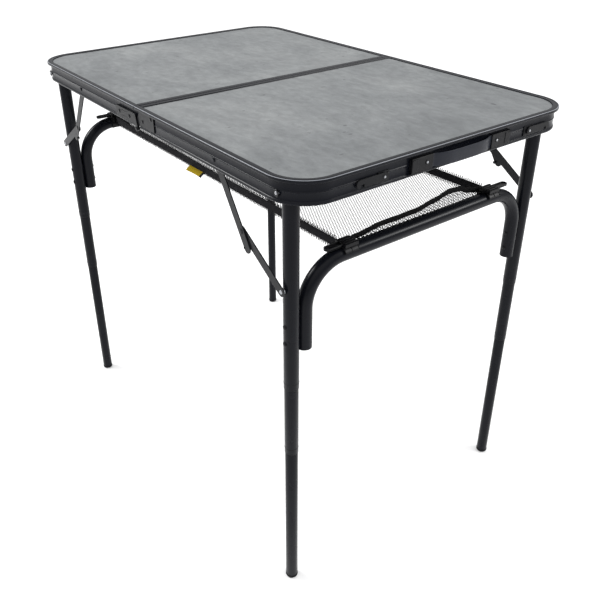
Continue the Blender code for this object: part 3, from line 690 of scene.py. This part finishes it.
def brace(end, half, side, hand):
    mount = Vector((end * MOUNT_X, PIVOT_Z))
    knee = Vector((end * (LEG_X - KNEE_IN), PIVOT_Z - KNEE_IN))
    leg_point = Vector((end * LEG_X, BRACE_LEG_Z))
    along = (knee - mount).normalized()
    tip = knee + along * TAB_L
    out, back = (0, side, 0), (0, -side, 0)
    body = bmesh.new()
    prism(body, stadium(mount, tip, LINK_W), "Y", side * UPPER_LINK_Y[0], side * UPPER_LINK_Y[1])
    lug = knee + along * (TAB_L - 0.003)
    across = Vector((-along.y, along.x)) * (1 if end * along.x > 0 else -1)
    lug_low = lug - across * end * 0.0062
    stub = [(0, 0), (0.0026, 0), (0.0030, 0.0004), (0.0030, 0.0045), (0, 0.0045)]
    turned(body, stub, (lug_low.x, side * UPPER_LINK_Y[1], lug_low.y), back, 20)
    domed(body, (knee.x, side * UPPER_LINK_Y[1], knee.y), out, 0.0050, 0.0011)
    shank = [(0, 0), (0.0025, 0), (0.0025, 0.0052), (0, 0.0052)]
    turned(body, shank, (knee.x, side * UPPER_LINK_Y[1], knee.y), back, 20)
    domed(body, (knee.x, side * LOWER_LINK_Y[0], knee.y), back, 0.0048, 0.0014)
    name = f"upper_brace_{half}_{hand}"
    piece(f"brace_upper_{half}_{hand}", body, [BRACE_COAT], frame_body(name), [name], 0.0003)
    body = bmesh.new()
    prism(body, stadium(knee, leg_point, LINK_W), "Y", side * LOWER_LINK_Y[0], side * LOWER_LINK_Y[1])
    pin = (leg_point.x, side * LOWER_LINK_Y[1], leg_point.y)
    domed(body, pin, out, 0.0034, 0.0008, index=1)
    head = [(0, 0.0020), (0.0048, 0.0020), (0.0048, 0.0048), (0.0040, 0.0052), (0, 0.0059)]
    turned(body, head, pin, back, 28, 1)
    name = f"lower_brace_{half}_{hand}"
    finishes = [BRACE_COAT, STEEL]
    piece(f"brace_lower_{half}_{hand}", body, finishes, frame_body(name), [name], 0.0003)


def clip(end, half, side, hand):
    """Plastic clip on the arch: a saddle with ribs, a block over the webbing, and a slotted finger paddle."""
    x, z = end * LEG_X, ARCH_Z
    low, high = CLIP_Y - CLIP_W / 2, CLIP_Y + CLIP_W / 2
    body = bmesh.new()
    outline = []
    for radius, order in ((0.0156, range(31)), (0.0131, reversed(range(31)))):
        for i in order:
            turn = math.radians(22 + 196 * i / 30)
            outline.append((x + end * radius * math.cos(turn), z + radius * math.sin(turn)))
    prism(body, outline, "Y", side * low, side * high)
    for y in (low + 0.0004, CLIP_Y - 0.0005, high - 0.0014):
        ribs = []
        for radius, order in ((0.0164, range(31)), (0.0154, reversed(range(31)))):
            for i in order:
                turn = math.radians(24 + 192 * i / 30)
                ribs.append((x + end * radius * math.cos(turn), z + radius * math.sin(turn)))
        prism(body, ribs, "Y", side * y, side * (y + 0.0010))
    side_box(body, side, (x - 0.0122, low + 0.001, z + 0.0140), (x + 0.0122, high - 0.001, z + 0.0200))
    for offset in (-0.0085, -0.0028, 0.0028, 0.0085):
        near = (x + offset - 0.0010, low + 0.002, z + 0.0198)
        far = (x + offset + 0.0010, high - 0.002, z + 0.0214)
        side_box(body, side, near, far)
    root, tip = (x, side * (high - 0.004)), (x, side * 0.2015)
    outer, inner = stadium(root, tip, 0.0130, 12), stadium(root, tip, 0.0098, 12)
    prism(body, outer, "Z", z + 0.0156, z + 0.0176)
    ring_wall(body, outer, inner, z + 0.0152, z + 0.0197)
    name = f"shelf_clip_{half}_{hand}"
    piece(f"clip_{half}_{hand}", body, [NYLON], frame_body(name), [name], 0.0004)
    body = bmesh.new()
    inward = -end
    for offset in (0.0, 0.0022):
        path = []
        for i in range(13):
            turn = math.pi * i / 12
            path.append((x + inward * (0.0135 + 0.0028 * math.sin(turn)), z + 0.0030 + 0.0145 * i / 12))
        flat_loop(body, path, side * (low + 0.003 + offset), side * (high - 0.004 + offset), 0.0011)
    piece(f"shelf_loop_{half}_{hand}", body, [WEBBING], frame_body(name))


def ring_wall(body, outer, inner, low, high, index=0):
    """A closed wall that follows an outline, from an outer to an inner edge."""
    levels = []
    for outline, z in ((outer, low), (outer, high), (inner, high), (inner, low)):
        levels.append([body.verts.new((a, b, z)) for a, b in outline])
    count = len(outer)
    for i in range(4):
        a, b = levels[i], levels[(i + 1) % 4]
        for k in range(count):
            m = (k + 1) % count
            face(body, [a[k], a[m], b[m], b[k]], index)


def flat_loop(body, path, near, far, thick, index=0):
    """A tape that follows a path in X and Z, between two distances along Y."""
    rings = []
    for i, (a, b) in enumerate(path):
        c, d = path[min(i + 1, len(path) - 1)], path[max(i - 1, 0)]
        along = Vector((c[0] - d[0], c[1] - d[1])).normalized()
        out = Vector((-along.y, along.x)) * thick / 2
        under, over = (a - out.x, b - out.y), (a + out.x, b + out.y)
        rings.append([(u, y, v) for (u, v), y in ((under, near), (over, near), (over, far), (under, far))])
    made = swept(body, rings, index=index)
    face(body, made[0][::-1], index)
    face(body, made[-1], index)


def latch(side, hand):
    y = END_MID_Y + side * LATCH_HALF
    tip = (y + side * (LATCH_L - 0.006), LATCH_Z)
    body = bmesh.new()
    bar = stadium((y, LATCH_Z), tip, 0.0124, 14)
    hook = y + side * (LATCH_L - 0.014)
    prism(body, bar, "X", END_FACE + 0.0020, END_FACE + 0.0047)
    rib = stadium((y + side * 0.009, LATCH_Z + 0.0012), (tip[0] - side * 0.002, LATCH_Z + 0.0012), 0.0032, 8)
    prism(body, rib, "X", END_FACE + 0.0046, END_FACE + 0.0052)
    name = f"latch_lever_{hand}"
    lever = added(f"lever_{hand}", closed_mesh(f"lever_{hand}", body, [DARK_STEEL], 35))
    near, far = sorted((hook, hook + side * 0.006))
    carved(lever, (END_FACE, near, LATCH_Z - 0.0100), (END_FACE + 0.01, far, LATCH_Z - 0.0012))
    edges = lever.modifiers.new("edges", "BEVEL")
    edges.width, edges.segments, edges.limit_method = 0.0003, 2, "ANGLE"
    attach(lever, frame_body(name))
    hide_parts(name)
    body = bmesh.new()
    half = LATCH_BASE_W / 2
    box(body, (END_FACE + 0.0003, y - half, 0.7688), (END_FACE + 0.0017, y + half, 0.7846))
    for z in (0.7722, 0.7812):
        domed(body, (END_FACE + 0.0017, y - side * 0.0078, z), (1, 0, 0), 0.0018, 0.0006, steps=20)
    washer = [(0.0025, 0), (0.0050, 0), (0.0050, 0.0004), (0.0025, 0.0004)]
    turned(body, washer, (END_FACE + 0.0046, y, LATCH_Z), (1, 0, 0), 28)
    domed(body, (END_FACE + 0.0049, y, LATCH_Z), (1, 0, 0), 0.0020, 0.0014, index=1)
    shank = [(0, 0), (0.0022, 0), (0.0022, 0.0036), (0, 0.0036)]
    turned(body, shank, (END_FACE + 0.0014, y, LATCH_Z), (1, 0, 0), 20)
    name = f"latch_base_{hand}"
    piece(f"base_{hand}", body, [DARK_STEEL, STEEL], frame_body(name), [name], 0.0003)


def handle():
    """Carrying handle: two end housings with rivets and a soft strap bowed out between them."""
    for side, hand in SIDES:
        outer, inner = side * HANDLE_HALF, side * (HANDLE_HALF - BRACKET_L)
        near, far = END_MID_Y + min(outer, inner), END_MID_Y + max(outer, inner)
        name = f"handle_bracket_{hand}"
        body = bmesh.new()
        wall = 0.0010
        out = END_FACE + 0.0056
        box(body, (END_FACE + 0.0003, near, HANDLE_Z[0]), (END_FACE + 0.0014, far, HANDLE_Z[1]))
        box(body, (END_FACE + 0.0014, near, HANDLE_Z[0]), (out, far, HANDLE_Z[0] + wall))
        box(body, (END_FACE + 0.0014, near, HANDLE_Z[1] - wall), (out, far, HANDLE_Z[1]))
        box(body, (out - wall, near, HANDLE_Z[0] + wall), (out, far, HANDLE_Z[1] - wall))
        block = sorted((END_MID_Y + outer, END_MID_Y + outer - side * 0.031))
        filled = (out - wall, block[1], HANDLE_Z[1] - wall)
        box(body, (END_FACE + 0.0014, block[0], HANDLE_Z[0] + wall), filled)
        cap = sorted((END_MID_Y + outer - side * 0.0006, END_MID_Y + outer - side * 0.0125))
        box(body, (out - 0.0003, cap[0], HANDLE_Z[0] + 0.0022), (out + 0.0006, cap[1], HANDLE_Z[1] - 0.0022))
        rivet_y = END_MID_Y + side * (HANDLE_HALF - BRACKET_L + 0.0120)
        seat = (out, rivet_y, 0.7794)
        domed(body, seat, (1, 0, 0), 0.0020, 0.0012, index=1)
        washer = [(0.0020, -0.0002), (0.0046, -0.0002), (0.0043, 0.0005), (0.0020, 0.0005)]
        turned(body, washer, seat, (1, 0, 0), 28, 2)
        piece(f"bracket_{hand}", body, [NYLON, STEEL, DARK_STEEL], frame_body(name), [name], 0.0004)
    low, high = HANDLE_Z[0] + 0.0011, HANDLE_Z[1] - 0.0011
    half = HANDLE_HALF - BRACKET_L + 0.0090
    thick, steps = 0.0022, 90
    body = bmesh.new()
    rings = []
    for i in range(steps + 1):
        y = -half + 2 * half * i / steps
        reach = max(0.0, 1 - (abs(y) / (half - 0.013)) ** 2) if abs(y) < half - 0.013 else 0.0
        x = END_FACE + 0.0018 + STRAP_BULGE * reach * (2 - reach)
        ring = []
        for k in range(17):
            turn = math.pi * k / 16 - math.pi / 2
            crown = 0.62 + 0.38 * math.cos(turn) ** 0.5 if abs(turn) < 1.57 else 0.62
            z = (low + high) / 2 + (high - low) / 2 * math.sin(turn)
            ring.append((x + thick * crown, END_MID_Y + y, z))
        ring.append((x, END_MID_Y + y, high - 0.0002))
        ring.append((x, END_MID_Y + y, low + 0.0002))
        rings.append(ring)
    made = swept(body, rings)
    face(body, made[0][::-1])
    face(body, made[-1])
    piece("strap", body, [STRAP], frame_body("handle_strap"), ["handle_strap"], angle=50)


def net_sag(x, y):
    """Height of the shelf floor: it sags between its bands and is drawn a little at the ends."""
    across = max(0.0, 1 - (y / SHELF_Y) ** 2)
    along = max(0.0, 1 - (abs(x) / SHELF_X) ** 4)
    ripple = 0.0011 * noise.noise(Vector((x * 9, y * 14, 0.3)))
    ripple += 0.0004 * noise.noise(Vector((x * 40, y * 40, 1.7)))
    crease = -0.0016 * math.exp(-(((x - 0.22) * 0.55 + (y + 0.02)) / 0.006) ** 2) * (1 if x > 0.05 else 0)
    return SHELF_Z + 0.0004 - NET_SAG * across * along + (ripple + crease) * across


def net_mesh(name, inside, surface, u_span, v_span, pitch=NET_PITCH, hole=NET_HOLE):
    """Hexagonal net in a flat (u, v) cut, laid on a surface. A strand is raised along its middle."""
    step = pitch * math.sqrt(3) / 2
    reach = pitch / math.sqrt(3)
    points, faces, known = [], [], {}

    def corner(u, v, raise_by):
        key = (round(u * 1e5), round(v * 1e5), raise_by > 0)
        if key not in known:
            known[key] = len(points)
            points.append(surface(u, v, raise_by))
        return known[key]

    columns = range(math.ceil(u_span[0] / step), math.floor(u_span[1] / step) + 1)
    for i in columns:
        u = i * step
        first = math.ceil((v_span[0] - (i % 2) * pitch / 2) / pitch)
        last = math.floor((v_span[1] - (i % 2) * pitch / 2) / pitch)
        for k in range(first, last + 1):
            v = k * pitch + (i % 2) * pitch / 2
            if not inside(u, v):
                continue
            ring = [(math.cos(math.pi * n / 3), math.sin(math.pi * n / 3)) for n in range(6)]
            outer = [corner(u + reach * a, v + reach * b, 0.0003) for a, b in ring]
            inner = []
            for a, b in ring:
                inner.append(len(points))
                points.append(surface(u + reach * hole * a, v + reach * hole * b, 0.0))
            for n in range(6):
                m = (n + 1) % 6
                faces.append((outer[n], outer[m], inner[m], inner[n]))
    mesh = bpy.data.meshes.new(name)
    mesh.from_pydata(points, [], faces)
    mesh.update()
    mesh.materials.append(NET)
    return mesh


SEGMENTS = (("handle", NET_SPLIT, 1.0), ("middle", -NET_SPLIT, NET_SPLIT), ("far", -1.0, -NET_SPLIT))


def in_segment(x, low, high):
    return low <= x < high


def hang(made, segment):
    """Lets a soft piece follow the frame: the middle part stays where it is in the world, and each outer part
    rides on its half of the top with its own copy of the mesh."""
    if segment == "middle":
        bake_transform(made)
    elif segment == "handle":
        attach(made, "handle_half")
        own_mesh(made)
    else:
        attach(made, "far_half")
        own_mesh(made)
    return made


def band_line(x, side):
    """Y and rise of a side band, which wavers a little between the clips."""
    slack = max(0.0, 1 - (x / SHELF_X) ** 2)
    y = side * (SHELF_Y + 0.0002 + slack * (0.0009 * math.sin(9 * x + side) - 0.0004))
    return y, slack * (0.0008 * math.sin(13 * x + 2 * side) - 0.0010)


def band(segment, low_x, high_x, side, hand):
    """Folded tape along a long edge, with the cut ends of the net standing out above and below."""
    low_x, high_x = max(low_x, -SHELF_X), min(high_x, SHELF_X)
    steps = round((high_x - low_x) / 0.004)
    body = bmesh.new()
    rings = []
    for i in range(steps + 1):
        x = low_x + (high_x - low_x) * i / steps
        y, rise = band_line(x, side)
        ring = []
        for k in range(7):
            z = BAND_Z[0] + 0.0012 + (BAND_Z[1] - BAND_Z[0] - 0.0034) * k / 6 + rise
            bulge = 0.0003 * math.sin(math.pi * k / 6)
            ring.append((x, y + side * (0.0004 + bulge), z))
        for k in range(6, -1, -1):
            z = BAND_Z[0] + 0.0012 + (BAND_Z[1] - BAND_Z[0] - 0.0034) * k / 6 + rise
            ring.append((x, y - side * 0.0004, z))
        rings.append(ring)
    made = swept(body, rings)
    face(body, made[0][::-1])
    face(body, made[-1])
    tape = added(f"band_{hand}_{segment}", closed_mesh("band", body, [BAND], 50))
    body = bmesh.new()
    count = round((high_x - low_x) / 0.0044)
    for i in range(count):
        for base, way, shift in ((BAND_Z[1] - 0.0024, 1, 0.25), (BAND_Z[0] + 0.0014, -1, 0.75)):
            x = low_x + (high_x - low_x) * (i + shift) / count
            y, rise = band_line(x, side)
            tall = 0.0047 + 0.0020 * noise.noise(Vector((x * 311, side * 3.1, way)))
            lean = 0.0009 * noise.noise(Vector((x * 177, side * 9.1, way)))
            z = base + rise
            for foot in (-0.0012, 0.0012):
                spots = [
                    (x + foot - 0.0005, y, z), (x + foot + 0.0005, y, z),
                    (x + lean + foot * 0.2 + 0.0003, y + 0.0003, z + way * tall),
                    (x + lean + foot * 0.2 - 0.0003, y + 0.0003, z + way * tall),
                ]
                rows = swept(body, [spots, [(a, b + 0.0005, c) for a, b, c in spots]])
                face(body, rows[0][::-1])
                face(body, rows[1])
    fringe = added(f"band_fringe_{hand}_{segment}", closed_mesh("fringe", body, [NET], 50))
    hang(tape, segment)
    hang(fringe, segment)
    if segment == "middle":
        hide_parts(f"shelf_webbing_{hand}")


def net_floor():
    """Shelf floor in three parts that meet edge to edge."""
    reach, half = SHELF_X - 0.0030, SHELF_Y - 0.0002
    for segment, low, high in SEGMENTS:
        def inside(u, v, low=low, high=high):
            return in_segment(u, low, high)

        def floor_at(u, v, up):
            return (u, v, net_sag(u, v) + up)
        mesh = net_mesh(f"net_{segment}", inside, floor_at, (-reach, reach), (-half, half))
        made = added(f"net_floor_{segment}", mesh)
        hang(made, segment)
        width = (min(high, reach) - max(low, -reach))
        if segment == "middle":
            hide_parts("shelf_mesh_floor")


HEM_RISE = (
    (-0.170, 0.004), (-0.125, 0.009), (-0.075, 0.0145), (0.0, 0.0150), (0.045, 0.0215),
    (0.085, 0.0285), (0.108, 0.0275), (0.130, 0.0190), (0.150, 0.0140), (0.170, 0.0120),
)


def hem_height(y):
    """Top edge of a shelf end: it climbs towards the right clip in slack waves, then drops to it."""
    y = min(max(y, HEM_RISE[0][0]), HEM_RISE[-1][0])
    for (y0, z0), (y1, z1) in zip(HEM_RISE, HEM_RISE[1:]):
        if y <= y1:
            share = (y - y0) / (y1 - y0)
            return SHELF_Z + z0 + (z1 - z0) * share * share * (3 - 2 * share)
    return SHELF_Z + HEM_RISE[-1][1]


def end_wall(end, half):
    """Low net wall at one end, bound at the floor and with a slack hem along its top."""
    segment = "handle" if end > 0 else "far"
    x = end * (SHELF_X - 0.0012)
    reach = SHELF_Y - 0.0010

    def surface(u, v, up):
        lift = v / max(hem_height(u) - SHELF_Z, 0.004)
        return (x - end * (0.0022 * math.sin(math.pi * min(lift, 1.0)) + up), u, SHELF_Z - 0.002 + v)

    def inside(u, v):
        return v < hem_height(u) - SHELF_Z + 0.004

    name = f"net_end_{half}"
    wall = added(name, net_mesh(name, inside, surface, (-reach, reach), (0.001, 0.038)))
    body = bmesh.new()
    steps = 90
    for kind in ("binding", "hem"):
        rings = []
        for i in range(steps + 1):
            y = -reach + 2 * reach * i / steps
            wave = noise.noise(Vector((y * 22, end * 2.0, 4.0)))
            if kind == "binding":
                low, high, px = SHELF_Z - 0.0040, SHELF_Z + 0.0042, x + end * 0.0006
            else:
                high = hem_height(y) + 0.0045 + 0.0006 * wave
                low = high - 0.0095
                px = x - end * 0.0020 - end * 0.0012 * wave
            middle = (low + high) / 2
            rings.append([
                (px - 0.0006, y, low), (px + 0.0006, y, low), (px + 0.0008, y, middle),
                (px + 0.0006, y, high), (px - 0.0006, y, high), (px - 0.0008, y, middle),
            ])
        made = swept(body, rings)
        face(body, made[0][::-1])
        face(body, made[-1])
    hem = added(f"net_hem_{half}", closed_mesh("hem", body, [WEBBING], 50))
    hang(wall, segment)
    hang(hem, segment)
    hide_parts(f"shelf_end_wall_{half}")


def tag():
    """Cloth label sewn under the left band. It stands out from it and droops, and has a dark bound edge."""
    body = bmesh.new()
    for index, (left, right) in enumerate(((-0.0560, -0.0075), (-0.0075, -0.0010))):
        rings = []
        for i in range(13):
            x = left + (right - left) * i / 12
            sway = 0.0008 * math.sin(70 * x)
            front, back = [], []
            for k in range(9):
                share = k / 8
                y = -SHELF_Y - 0.0008 - 0.0095 * share
                z = 0.6462 - 0.0030 * share - (0.0042 + sway) * share * share
                front.append((x - 0.0012 * share, y, z))
                back.insert(0, (x - 0.0012 * share, y + 0.0003, z - 0.0007))
            rings.append(front + back)
        made = swept(body, rings, index=index)
        face(body, made[0][::-1], index)
        face(body, made[-1], index)
    made = added("cloth_tag", closed_mesh("cloth_tag", body, [LABEL, LABEL_EDGE], 50))
    hang(made, "middle")
    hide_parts("shelf_label_tag")


def studio():
    """Pale floor, soft even light and the camera."""
    body = bmesh.new()
    spots = [body.verts.new(p) for p in ((-40, -40, 0), (40, -40, 0), (40, 40, 0), (-40, 40, 0))]
    face(body, spots)
    ground = added("ground", closed_mesh("ground", body, [floor_finish()], 30))
    ground.location.z = -0.0005
    world = bpy.data.worlds.new("studio")
    scene.world = world
    world.use_nodes = True
    tree = world.node_tree
    sky = tree.nodes["Background"]
    up = tree.nodes.new("ShaderNodeTexCoord")
    split = tree.nodes.new("ShaderNodeSeparateXYZ")
    ramp = tree.nodes.new("ShaderNodeValToRGB")
    ramp.color_ramp.elements[0].position = 0.5
    ramp.color_ramp.elements[0].color = (0.20, 0.20, 0.21, 1)
    ramp.color_ramp.elements[1].position = 0.85
    ramp.color_ramp.elements[1].color = (1, 1, 1, 1)
    shift = tree.nodes.new("ShaderNodeMath")
    shift.operation = "MULTIPLY_ADD"
    shift.inputs[1].default_value = 0.5
    shift.inputs[2].default_value = 0.5
    tree.links.new(up.outputs["Generated"], split.inputs[0])
    tree.links.new(split.outputs["Z"], shift.inputs[0])
    tree.links.new(shift.outputs[0], ramp.inputs[0])
    tree.links.new(ramp.outputs[0], sky.inputs["Color"])
    sky.inputs["Strength"].default_value = 1.40
    for place, size, power in (((-2.0, -1.7, 2.3), 1.2, 62), ((2.0, 1.9, 1.9), 0.9, 34)):
        data = bpy.data.lights.new("soft", "AREA")
        data.shape = "DISK"
        data.size = size
        data.energy = power
        lamp = bpy.data.objects.new("soft", data)
        scene.collection.objects.link(lamp)
        lamp.location = place
        lamp.rotation_euler = (Vector((0, 0, 0.6)) - Vector(place)).to_track_quat("-Z", "Y").to_euler()
    data = bpy.data.cameras.new("camera")
    data.lens, data.sensor_width = 43.1, 36
    data.shift_x, data.shift_y = 0.0198, -0.0637
    camera = bpy.data.objects.new("camera", data)
    scene.collection.objects.link(camera)
    right, upward = (0.60353, 0.79733, -0.00410), (-0.38269, 0.29418, 0.87579)
    back = (0.69950, -0.52699, 0.48268)
    turn = Matrix((right, upward, back)).transposed().to_4x4()
    camera.matrix_world = Matrix.Translation((1.1107, -0.8099, 1.1559)) @ turn
    scene.camera = camera
    scene.view_settings.view_transform = "Standard"


CONCRETE = concrete_print()
PANEL_EDGE = moulded("panel_edge", (0.05, 0.05, 0.05), 0.6)
FRAME_COAT = coated("frame_coat", (0.0040, 0.0046, 0.0072), (0.0060, 0.0068, 0.0100), 0.22, 0.08, 0.11)
# Painted highlight: a light grey coat for the rim's outer lip, in place of the line of light along it.
LIP_PAINTED_HIGHLIGHT = coated("frame_lip_painted_highlight", (0.15, 0.16, 0.18), (0.22, 0.23, 0.25), 0.25, 0.06, 0.40)
TUBE_COAT = coated("tube_coat", (0.0040, 0.0045, 0.0068), (0.0060, 0.0066, 0.0092), 0.23, 0.08, 0.11)
BRACE_COAT = coated("brace_coat", (0.0075, 0.0078, 0.0092), (0.012, 0.0124, 0.0142), 0.30, 0.12, 0.13)
DARK_STEEL = coated("dark_fittings", (0.0038, 0.0040, 0.0052), (0.0065, 0.0068, 0.0080), 0.26, 0.12, 0.12)
STEEL = steel("bright_steel", (0.40, 0.41, 0.43), 0.30)
NYLON = moulded("black_nylon", (0.004, 0.004, 0.005), 0.34)
RUBBER = moulded("black_rubber", (0.010, 0.010, 0.011), 0.72, 500, 0.25)
STRAP = moulded("strap_rubber", (0.017, 0.019, 0.026), 0.40, 300, 0.12)
WEBBING = woven("black_webbing", (0.009, 0.009, 0.010), "Y", "Z", 260, 0.03)
BAND = woven("black_band", (0.006, 0.0058, 0.0082), "X", "Z", 190, 0.03)
NET = moulded("net_strand", (0.006, 0.006, 0.007), 0.72, 2200, 0.3, 0.0)
LABEL = woven("yellow_label", (0.80, 0.56, 0.015), "X", "Z", 420, 0.05)
LABEL_EDGE = woven("label_edge", (0.020, 0.020, 0.020), "X", "Z", 420, 0.05)

for end, half in ENDS:
    top_panel(end, half)
    rim_frame(end, half)
    seam_strip(end, half)
    arch(end, half)
    for side, hand in SIDES:
        leg_stud(end, half, side, hand)
        leg(end, half, side, hand)
        brace(end, half, side, hand)
        clip(end, half, side, hand)
for side, hand in SIDES:
    hinge(side, hand)
    latch(side, hand)
handle()
net_floor()
for segment, low, high in SEGMENTS:
    for side, hand in SIDES:
        band(segment, low, high, side, hand)
for end, half in ENDS:
    end_wall(end, half)
tag()
studio()
